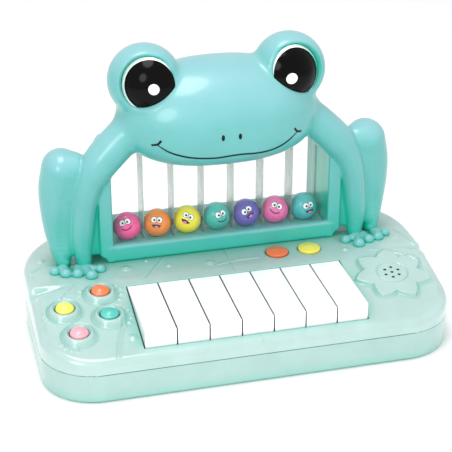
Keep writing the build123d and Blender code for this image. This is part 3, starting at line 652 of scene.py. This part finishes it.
def stroke(points, widths):
    """Outline of a pen stroke along points, with half widths."""
    left, right = [], []
    for k, (a, b) in enumerate(points):
        p, q = points[max(k - 1, 0)], points[min(k + 1, len(points) - 1)]
        ta, tb = q[0] - p[0], q[1] - p[1]
        size = math.hypot(ta, tb) or 1
        na, nb = -tb / size * widths[k], ta / size * widths[k]
        left.append((a + na, b + nb))
        right.append((a - na, b - nb))
    return left, right


def ribbon(name, surface, points, widths, material, body="base", origin=(0, 0, 0)):
    """A printed line laid on a surface."""
    left, right = stroke(points, widths)
    verts, faces = [], []
    for (a, b), (m, n), (c, d) in zip(left, points, right):
        verts += [surface(a, b), surface(m, n), surface(c, d)]
    for k in range(len(points) - 1):
        s = 3 * k
        faces += [(s, s + 1, s + 4, s + 3), (s + 1, s + 2, s + 5, s + 4)]
    return make_piece(name, verts, faces, material, body, None, origin=origin)


def curve_through(points, steps):
    return [(float(r[0]), float(r[1])) for r in smooth_rows(points, steps)]


MOUTH = [
    (-50, 139),
    (-41, 133),
    (-30, 129.3),
    (-19, 127.6),
    (-9, 127.2),
    (0, 128),
    (9, 128.4),
    (19, 127.6),
    (30, 128.4),
    (38, 131),
    (44, 134.6),
    (49.5, 139),
]
PRINT_X, PRINT_Z, PRINT_LIFT = -1.0, 2.2, 0.16  # the whole print's offset, and its height off the head


def build_face(front):
    """Mouth, its corner ticks and the nostrils, printed on the head."""

    def on_head(x, z):
        hit, normal, _, _ = front.ray_cast(Vector((x + PRINT_X, -60, z + PRINT_Z)), Vector((0, 1, 0)))
        if hit is None:
            return Vector((x + PRINT_X, 20, z + PRINT_Z))
        return hit + (normal if normal.y < 0 else -normal) * PRINT_LIFT

    line = curve_through(MOUTH, 8)
    last = len(line) - 1
    widths = [0.72 * min(1, 0.35 + 5 * min(k, last - k) / last) for k in range(last + 1)]
    ribbon("mouth_line", on_head, line, widths, "print_black")
    for side, word in ((-1, "left"), (1, "right")):
        tick = curve_through([(side * 46.4, 141.6), (side * 48.6, 138.6), (side * 52.4, 137.4)], 5)
        ribbon("mouth_tick_" + word, on_head, tick, [0.75] * len(tick), "print_black")
        spot = [(side * 5.9 + a, 143.0 + b) for a, b in circle(1.15, 28, 1.9)]
        patch("nostril_" + word, on_head, spot, 4, "print_black")


# ---------------------------------------------------------------- balls
BALL_R = 10.15
SEAM_DEPTH, SEAM_HALF = 0.012, 0.35  # the moulding seam, as a share of the radius and in millimetres
# material, how far the face is rolled in degrees, where it looks, and its mouth
BALL_LOOKS = (
    ("ball_magenta", 20, (-0.05, 0.35), "smile"),
    ("ball_orange", -4, (0.0, 0.15), "open"),
    ("ball_yellow", -30, (0.05, 0.25), "open"),
    ("ball_teal", 14, (0.42, -0.05), "smile"),
    ("ball_purple", 34, (0.18, 0.1), "open"),
    ("ball_pink", -24, (0.08, 0.3), "smile"),
    ("ball_aqua", 8, (0.4, -0.2), "open"),
)


EYE_OUT, EYE_UP, RIM_SHARE = 2.15, 1.9, 0.16  # a ball's eyes, and how much wider their dark rims are


def build_ball(k, material, roll, aim, mouth):
    """A hollow plastic ball with a plain printed face of its own."""
    place = centre_of(f"ball_{k}")
    body = f"ball_{k}"
    rows, turns = 40, 64
    verts, faces = [(0, 0, -1)], []
    for i in range(1, rows):
        polar = math.pi * i / rows
        for j in range(turns):
            angle = 2 * math.pi * j / turns
            across = math.sin(polar)
            verts.append((across * math.cos(angle), across * math.sin(angle), -math.cos(polar)))
    verts.append((0, 0, 1))
    top = len(verts) - 1
    for j in range(turns):
        nxt = (j + 1) % turns
        faces.append((0, 1 + nxt, 1 + j))
        faces.append((top, 1 + (rows - 2) * turns + j, 1 + (rows - 2) * turns + nxt))
        for i in range(rows - 2):
            a, b = 1 + i * turns + j, 1 + i * turns + nxt
            faces.append((a, b, b + turns, a + turns))
    seam = [1 - SEAM_DEPTH * math.exp(-((z * BALL_R / SEAM_HALF) ** 2)) for _, _, z in verts]
    shell = [tuple(BALL_R * s * c + o for c, o in zip(v, place)) for v, s in zip(verts, seam)]
    made = make_piece(f"ball_{k}_shell", shell, faces, material, body, material, origin=tuple(place))
    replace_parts(made, f"ball_{k}")

    look = Vector((math.sin(-0.25) + aim[0], -1, 0.42 + aim[1] * 0.6)).normalized()
    _, right, up, ahead = frame_at(place, look)
    turn = math.radians(roll)
    across = right * math.cos(turn) + up * math.sin(turn)
    above = up * math.cos(turn) - right * math.sin(turn)

    def on_ball(lift):
        def surface(a, b):
            ta, tb = a / BALL_R, b / BALL_R
            d = (ahead + across * math.tan(ta) + above * math.tan(tb)).normalized()
            return Vector(place) + d * (BALL_R + lift)
        return surface

    centre = tuple(place)
    for side, tag in ((-1, "left"), (1, "right")):
        eye = [(side * EYE_OUT + a, EYE_UP + b) for a, b in circle(1.95, 36, 1.08)]
        rim = [(a + (a - side * EYE_OUT) * RIM_SHARE, b + (b - EYE_UP) * RIM_SHARE) for a, b in eye]
        dot = [(side * 1.7 + a, 1.5 + b) for a, b in circle(0.85, 24)]
        patch(f"ball_{k}_eye_rim_{tag}", on_ball(0.03), rim, 3, "print_black", body, centre)
        patch(f"ball_{k}_eye_{tag}", on_ball(0.06), eye, 3, "eye_white", body, centre)
        patch(f"ball_{k}_pupil_{tag}", on_ball(0.09), dot, 2, "eye_black", body, centre)
    if mouth == "smile":
        sweep = np.linspace(math.pi * 1.12, math.pi * 1.88, 16)
        arc = [(4.0 * math.cos(a), -1.0 + 3.0 * math.sin(a)) for a in sweep]
        ribbon(f"ball_{k}_mouth", on_ball(0.05), arc, [0.42] * 16, "print_black", body, centre)
    else:
        lower = [(3.5 * math.cos(a), -1.7 + 2.7 * math.sin(a)) for a in np.linspace(math.pi, 2 * math.pi, 20)]
        upper = [(x, -1.7 + 0.25 * math.cos(x)) for x in np.linspace(3.2, -3.2, 8)]
        patch(f"ball_{k}_mouth", on_ball(0.05), lower + upper, 4, "print_black", body, centre)
        sweep = np.linspace(0, 2 * math.pi, 24)[:-1]
        tongue = [(0.1 + 1.6 * math.cos(a), -3.4 + 0.85 * math.sin(a)) for a in sweep]
        patch(f"ball_{k}_tongue", on_ball(0.08), tongue, 2, "ball_pink", body, centre)


# ---------------------------------------------------------------- base casing
BASE_W, BASE_D, R_FRONT, R_REAR = 286.0, 172.0, 38.0, 62.0
SEAM_Z, DECK_Z, RIM, WELL_FLOOR = 21.06, 45.0, 5.0, 20.6
INSET = 0.05  # keeps the casing's skin inside the CAD's outline
PANEL_0, PANEL_SLOPE = 46.8, 0.189  # the front panel's height at Y = 0, and its rise
WELL = (-77.3, 77.3, -76.9, -13.0)
BUTTONS = {
    "orange": (-95.7, -16.5),
    "yellow": (-122.3, -30.2),
    "teal": (-93.7, -40.7),
    "pink": (-116.7, -55.9),
}
# directions in degrees of the short raised marks round each button
TICKS = {
    "orange": (32, 8, -14, -36, 160, 182),
    "yellow": (186, 202, 218, 234),
    "teal": (-56, -37, -18, 1, 20),
    "pink": (207, 224, 241, 258),
}
TICK_FROM, TICK_TO, TICK_RISE = 13.2, 15.2, 0.8
BEZEL_R, BEZEL_RISE, BOWL_R, BOWL_DEPTH = 9.9, 2.9, 7.6, 1.6
BUTTON_HOLE, MODE_HOLE = 6.68, 8.36
MODE_BUTTONS = {"orange": (37.0, 8.0), "yellow": (61.0, 7.5)}
FLOWER, PETALS, FLOWER_TURN = (108.8, -35.5), 7, math.radians(133)
FLOWER_IN, PETAL_LONG, PETAL_RISE = 19.6, 8.4, 2.0
HEART_R, HOLE_RING_R = 10.8, 5.4  # the groove round the lily's heart, and the ring of sound holes in it
# water drops as (x, y, radius)
DROPS = (
    (-129.9, 36.2, 3.2),
    (-82.6, -65.3, 3.0),
    (-72.7, 10.2, 3.8),
    (-56.8, 18.0, 1.5),
    (-42.5, 7.1, 2.2),
    (-13.4, 4.3, 3.4),
    (127.4, 10.1, 4.2),
    (85.8, -0.5, 2.2),
)
# raised lines, each through these places
LINES = (
    ((-44.4, 18.5), (-53, 6), (-62.0, -7.6)),
    ((0, 20), (0, -12)),
    ((0, -77.5), (0, -84)),
    ((-111.9, -5.1), (-117, -11.7), (-122.8, -18)),
    ((-87.4, -48.4), (-90.9, -59.8), (-94.3, -70.9), (-97.0, -83.0)),
    ((-84.9, -49.1), (-88.4, -60.4), (-91.8, -71.5), (-94.5, -83.6)),
    ((-137.0, -31.7), (-139.5, -45.9)),
    ((-139.0, 18.5), (-131.2, 26.1), (-121.0, 28.7), (-108, 26)),
    ((103.2, -5.0), (114.7, -7.3), (123.7, -15.8), (130.9, -25.2), (135.0, -36.2)),
    ((131, 22), (135, 8), (138, -6)),
    ((-10, -0.5), (6, 3), (22, 3)),
)


def outline_distance(x, y, inset=0.0):
    """Distance outside the base's plan outline."""
    r = np.where(y < 0, R_FRONT, R_REAR)
    qx, qy = np.abs(x) - (BASE_W / 2 - r), np.abs(y) - (BASE_D / 2 - r)
    corner = np.sqrt(np.maximum(qx, 0) ** 2 + np.maximum(qy, 0) ** 2)
    return corner + np.minimum(np.maximum(qx, qy), 0) - r + inset


def line_distance(x, y, points):
    """Distance from the nearest of the runs through points."""
    best = None
    for (ax, ay), (bx, by) in zip(points, points[1:]):
        ux, uy = bx - ax, by - ay
        t = np.clip(((x - ax) * ux + (y - ay) * uy) / (ux * ux + uy * uy), 0, 1)
        d = np.sqrt((x - ax - t * ux) ** 2 + (y - ay - t * uy) ** 2)
        best = d if best is None else np.minimum(best, d)
    return best


def flower_reach(x, y):
    """Distance outside the raised lily, and distance from its middle."""
    px, py = x - FLOWER[0], (y - FLOWER[1]) * 1.018
    r = np.sqrt(px * px + py * py)
    step = 2 * math.pi / PETALS
    turn = np.mod(np.arctan2(py, px) - FLOWER_TURN + step / 2, step) - step / 2
    share = np.clip(1 - np.abs(turn) / (step / 2), 0, 1)
    return (r - (FLOWER_IN + PETAL_LONG * share**0.95)) * 0.86, r


def groove(distance, depth, width):
    """Depth of a soft groove that runs where distance is 0."""
    return depth * np.exp(-((distance / width) ** 2))


def top_height(x, y):
    """Height of the casing's top, with everything moulded on it."""
    z = smin(PANEL_0 + PANEL_SLOPE * y, DECK_Z + 0 * x, 1.6)
    for name, (bx, by) in BUTTONS.items():
        r = np.sqrt((x - bx) ** 2 + (y - by) ** 2)
        low = np.sqrt((x - bx) ** 2 + (y - by + 1.3) ** 2)
        z = z + BEZEL_RISE * step_down(low - BEZEL_R, 3.0) - BOWL_DEPTH * step_down(r - BOWL_R, 1.5)
        z = z - groove(low - 11.7, 0.7, 0.8)
        for angle in TICKS[name]:
            c, s = math.cos(math.radians(angle)), math.sin(math.radians(angle))
            ends = [(bx + reach * c, by - 1.0 + reach * s) for reach in (TICK_FROM, TICK_TO)]
            z = z + TICK_RISE * step_down(line_distance(x, y, ends) - 0.6, 1.1)
    for bx, by in MODE_BUTTONS.values():
        r = np.sqrt((x - bx) ** 2 + (y - by) ** 2)
        z = z - 0.4 * step_down(r - 9.0, 1.0)
    for points in LINES:
        z = z + 0.75 * step_down(line_distance(x, y, points) - 0.35, 1.3)
    for dx, dy, r in DROPS:
        d = np.sqrt((x - dx) ** 2 + (y - dy) ** 2)
        z = z + 0.5 * step_down(d - r, 1.0) + 1.1 * step_down(d - r * 0.3, r * 1.1)
    edge, r = flower_reach(x, y)
    z = z + PETAL_RISE * step_down(edge + 0.3, 1.3) - groove(edge - 0.9, 0.5, 0.8)
    heart_rim = 0.5 * step_down(np.abs(r - HEART_R - 1.0), 1.6) * step_down(edge, 1.0)
    z = z - groove(r - HEART_R, 0.6, 0.6) + heart_rim
    z = z - 0.25 * step_down(r - 9.6, 1.0)
    # wedge between the deck and each front pad, deepest at the side
    wide = np.clip((np.abs(x) - 114) / 28, 0, 1)
    middle = -3.0 - 4.5 * wide
    depth = np.where(x < 0, 4.6, 2.2)
    z = z - depth * wide * step_down(np.abs(y - middle) - 4.2 * wide, 5.0)
    # the pads' own outer edges are lower
    pad = step_down(y + 13, 8.0) * step_down(-y - 62, 14.0)
    return z - 2.0 * pad * step_down(-outline_distance(x, y) - 6.0, 3.5)


def casing_distance(x, y, z):
    """The upper casing above the seam, with its key well and button holes."""
    side = outline_distance(x, y, INSET)
    rise = z - top_height(x, y)
    a, b = np.maximum(side + RIM, 0), np.maximum(rise + RIM, 0)
    body = np.sqrt(a * a + b * b) + np.minimum(np.maximum(side + RIM, rise + RIM), 0) - RIM
    body = np.maximum(body, SEAM_Z - z)
    well_x = np.maximum(WELL[0] - x, x - WELL[1])
    well_y = np.maximum(WELL[2] - y, y - WELL[3])
    body = smax(body, -np.maximum(np.maximum(well_x, well_y), WELL_FLOOR - z), 0.5)
    for bx, by in BUTTONS.values():
        lean = (z - PANEL_0 - PANEL_SLOPE * by) * PANEL_SLOPE
        r = np.sqrt((x - bx) ** 2 + (y - by + lean) ** 2)
        body = np.maximum(body, BUTTON_HOLE - r + 0 * z)
    for bx, by in MODE_BUTTONS.values():
        body = np.maximum(body, MODE_HOLE - np.sqrt((x - bx) ** 2 + (y - by) ** 2) + 0 * z)
    return body


def build_casing():
    h = 0.72
    xs = np.arange(-BASE_W / 2 - 1.5, BASE_W / 2 + 1.6, h)
    ys = np.arange(-BASE_D / 2 - 1.5, BASE_D / 2 + 1.6, h)
    zs = np.arange(SEAM_Z - 1.1, 51.0, h)
    x, y, z = np.meshgrid(xs, ys, zs, indexing="ij", sparse=True)
    field = casing_distance(x, y, z).astype(np.float32)
    points, quads = skin(field, (xs, ys, zs))
    points, normals = settle(casing_distance, points, 0.5)
    middle = points[quads].mean(1)
    under = middle[:, 2] < SEAM_Z + 0.15
    behind_keys = (middle[:, 1] > -16) & (middle[:, 1] < -10) & (middle[:, 2] < 39)
    tail_slot = (np.abs(middle[:, 0]) < 79) & behind_keys
    kept = ~(under | tail_slot)
    points, quads, normals = part_of(points, quads, normals, kept)
    made = make_piece("casing_top", points, quads, "mint_plastic", "base", "mint_plastic", normals)
    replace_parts(made, "base_upper_casing")


def build_grille():
    """Painted shade: dark discs laid on the lily's heart where the speaker's sound holes are."""
    angle = math.atan(PANEL_SLOPE)
    ring = [math.radians(a) for a in range(20, 380, 60)]
    holes = [(0, 0)] + [(HOLE_RING_R * math.cos(a), HOLE_RING_R * math.sin(a)) for a in ring]
    for k, (px, py) in enumerate(holes):
        x0, y0 = FLOWER[0] + px, FLOWER[1] + py * math.cos(angle)

        def surface(a, b):
            x, y = x0 + a, y0 + b
            return Vector((x, y, float(top_height(np.float64(x), np.float64(y))) + 0.05))

        patch(f"sound_hole_shade_{k}", surface, circle(1.15, 28, 0.85), 3, "painted_hole_shade")


# ---------------------------------------------------------------- buttons, panes
def build_button(name, node, place, tilt, radius, height, rise, lobes, material, body):
    """Domed cap with a soft rim and slightly three-lobed outline."""
    turn = Matrix.Rotation(tilt, 3, "X")
    profile = [(1.0, -3.0), (1.0, height - rise)]
    for k in range(1, 15):
        a = math.pi / 2 * k / 14
        profile.append((1 - (1 - math.cos(a)) * 0.30, height - rise + rise * 0.55 * math.sin(a)))
    for k in range(1, 10):
        t = 1 - k / 10
        profile.append((0.70 * t, height - rise * 0.45 + rise * 0.45 * (1 - t * t)))
    turns = 72
    verts, faces = [], []
    for r, z in profile:
        for j in range(turns):
            angle = 2 * math.pi * j / turns
            reach = radius * r * (1 - lobes + lobes * math.cos(3 * angle + 0.9))
            point = turn @ Vector((reach * math.cos(angle), reach * math.sin(angle), z))
            verts.append(Vector(place) + point)
    verts.append(Vector(place) + turn @ Vector((0, 0, height)))
    top = len(verts) - 1
    for j in range(turns):
        nxt = (j + 1) % turns
        for k in range(len(profile) - 1):
            a, b = k * turns + j, k * turns + nxt
            faces.append((a, b, b + turns, a + turns))
        a, b = (len(profile) - 1) * turns + j, (len(profile) - 1) * turns + nxt
        faces.append((a, b, top))
    made = make_piece(name, verts, faces, material, body, material, origin=tuple(place))
    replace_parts(made, node)


def build_buttons():
    angle = math.atan(PANEL_SLOPE)
    for name, (x, y) in BUTTONS.items():
        place, own = (x, y, PANEL_0 + PANEL_SLOPE * y), f"button_{name}"
        build_button(f"cap_{name}", own, place, angle, 6.5, 3.9, 2.9, 0.02, own, own)
    for name, (x, y) in MODE_BUTTONS.items():
        place, own = (x, y, DECK_Z), f"mode_button_{name}"
        build_button(f"mode_cap_{name}", own, place, 0, 8.2, 2.5, 2.0, 0.012, f"button_{name}", own)


def slab_piece(name, low, high, r, material, slot):
    """Sheet or bar with rounded long edges."""
    (x0, y0, z0), (x1, y1, z1) = low, high
    outline = []
    corners = ((x1 - r, y1 - r, 0), (x0 + r, y1 - r, 90), (x0 + r, y0 + r, 180), (x1 - r, y0 + r, 270))
    for cx, cy, start in corners:
        for k in range(5):
            a = math.radians(start + 22.5 * k)
            outline.append((cx + r * math.cos(a), cy + r * math.sin(a)))
    n = len(outline)
    verts = [(x, y, z) for z in (z0, z1) for x, y in outline]
    faces = [(j, (j + 1) % n, n + (j + 1) % n, n + j) for j in range(n)]
    faces += [tuple(range(n))[::-1], tuple(range(n, 2 * n))]
    return make_piece(name, verts, faces, material, "base", slot)


PANE, PANE_STEP_Z, PANE_TOP_HALF = 1.5, 113.0, 73.0
RIB_HALF = 0.5


def build_panes():
    """Clear front pane, stepped rear pane, and the ribs that part the lanes."""

    def pane(name, low, high):
        return slab_piece(name, low, high, 0.4, "clear_plastic", "clear_plastic")

    low, high = [tuple(v / MM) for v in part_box("front_window")]
    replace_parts(pane("window_pane_front", low, high), "front_window")
    (x0, y0, z0), (x1, y1, z1) = [tuple(v / MM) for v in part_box("rear_window_with_dividers")]
    lower = pane("window_pane_rear", (x0, y1 - PANE, z0), (x1, y1, PANE_STEP_Z))
    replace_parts(lower, "rear_window_with_dividers")
    pane("window_pane_rear_top", (-PANE_TOP_HALF, y1 - PANE, PANE_STEP_Z), (PANE_TOP_HALF, y1, z1))
    for k in range(KEYS - 1):
        x = (k - (KEYS - 2) / 2) * PITCH
        low, high = (x - RIB_HALF, y0, z0 + 1.2), (x + RIB_HALF, y1 - 1.4, z1)
        slab_piece(f"lane_rib_{k + 1}", low, high, 0.3, "clear_rib", "clear_plastic")


# ---------------------------------------------------------------- carried-over CAD nodes
NODE_LOOKS = {
    # the lower casing and battery door take the darker copy of the mint, painted shade
    "mint_lower": ("base_lower_casing", "battery_door"),
    "spring_steel": ("key_shaft", "key_springs", "battery_contacts"),
    "contact_rubber": ("key_contact_pads", "button_pads", "mode_pads"),
    "circuit_board": ("key_contact_board", "button_board", "mode_board", "main_board"),
    "foot_rubber": ("rubber_feet",),
    "component": ("board_components",),
    "switch_black": ("power_switch", "power_switch_body"),
    "speaker_steel": ("speaker_frame",),
    "speaker_paper": ("speaker_cone",),
    "battery_sleeve": ("batteries",),
    "wire_red": ("speaker_leads", "battery_leads"),
}


def look_of(node):
    """The material of a CAD node; one that isn't listed has the frog's."""
    if node.startswith("key_") and node[-1].isdigit():
        return "key_white"
    if "screw" in node:
        return "screw_steel"
    for material, nodes in NODE_LOOKS.items():
        if node in nodes:
            return material
    return "frog_teal"


def dress_nodes():
    """Give every CAD node but the two clear windows its material."""
    for node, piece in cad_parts.items():
        if node in ("front_window", "rear_window_with_dividers"):
            continue
        material = MATERIALS[look_of(node)]
        if not piece.data.materials:
            piece.data.materials.append(material)
        for k in range(len(piece.material_slots)):
            piece.material_slots[k].material = material


# ---------------------------------------------------------------- stage, lights, camera
def make_stage():
    """White paper sweep in metres: flat from front to bend, then a quarter turn up into a wall."""
    mesh = bpy.data.meshes.new("floor")
    front, bend, rise, wall, half_width, count = -3.0, 1.2, 1.6, 4.0, 4.0, 24
    rows = [(front, 0.0), (bend, 0.0)]
    for k in range(1, count + 1):
        a = math.pi / 2 * k / count
        rows.append((bend + rise * math.sin(a), rise * (1 - math.cos(a))))
    rows.append((bend + rise, wall))
    verts = [(x, y, z) for y, z in rows for x in (-half_width, half_width)]
    faces = [(2 * k, 2 * k + 1, 2 * k + 3, 2 * k + 2) for k in range(len(rows) - 1)]
    mesh.from_pydata(verts, [], faces)
    for polygon in mesh.polygons:
        polygon.use_smooth = True
    floor = bpy.data.objects.new("floor", mesh)
    bpy.context.scene.collection.objects.link(floor)
    made, tree, shader = new_material("paper_white")
    tint = mix_colours(tree, noise(tree, 3.0), linear("fcfcfc"), linear("fafafa"))
    tree.links.new(tint, shader.inputs["Base Color"])
    shader.inputs["Roughness"].default_value = 0.9
    shader.inputs["Specular IOR Level"].default_value = 0.1
    floor.data.materials.append(made)


def area_light(name, place, aim, size, power, shines=True):
    """A soft light; one that doesn't shine leaves no highlight of its own in glossy plastic."""
    data = bpy.data.lights.new(name, "AREA")
    data.shape, data.size, data.size_y, data.energy = "ELLIPSE", size[0], size[1], power
    made = bpy.data.objects.new(name, data)
    bpy.context.scene.collection.objects.link(made)
    made.location = place
    made.visible_glossy = shines
    made.rotation_mode = "QUATERNION"
    made.rotation_quaternion = (Vector(aim) - Vector(place)).to_track_quat("-Z", "Y")


def make_lights():
    world = bpy.data.worlds.new("studio")
    bpy.context.scene.world = world
    world.use_nodes = True
    background = world.node_tree.nodes["Background"]
    background.inputs["Color"].default_value = (1.0, 1.0, 1.0, 1.0)
    background.inputs["Strength"].default_value = 0.77
    area_light("overhead", (-0.15, 0.05, 1.15), (0, 0, 0.05), (0.65, 0.5), 5.0)
    area_light("front_left", (-0.75, -0.75, 0.85), (0, 0, 0.08), (0.5, 0.6), 3.8)
    area_light("front_right", (0.8, -0.6, 0.7), (0, 0, 0.08), (0.4, 0.6), 2.2, shines=False)
    area_light("front_low", (-0.3, -1.2, 0.35), (0, 0, 0.09), (0.8, 0.4), 4.0, shines=False)
    bpy.context.scene.view_settings.view_transform = "Standard"
    bpy.context.scene.view_settings.look = "None"


def make_camera():
    data = bpy.data.cameras.new("camera")
    data.lens, data.sensor_width = 108.16, 36.0
    data.clip_start, data.clip_end = 0.05, 20.0
    made = bpy.data.objects.new("camera", data)
    bpy.context.scene.collection.objects.link(made)
    made.location = (-0.21338, -0.82102, 0.49967)
    yaw, pitch = math.radians(14.384), math.radians(26.627)
    ahead = Vector((math.sin(yaw) * math.cos(pitch), math.cos(yaw) * math.cos(pitch), -math.sin(pitch)))
    made.rotation_mode = "QUATERNION"
    made.rotation_quaternion = ahead.to_track_quat("-Z", "Y")
    bpy.context.scene.camera = made


fill_materials()
make_camera()
make_lights()
make_stage()
build_casing()
head_front = build_frog()
build_toes()
build_eyes()
build_face(head_front)
for number, (material, roll, aim, mouth) in enumerate(BALL_LOOKS, 1):
    build_ball(number, material, roll, aim, mouth)
build_buttons()
build_grille()
build_panes()
dress_nodes()
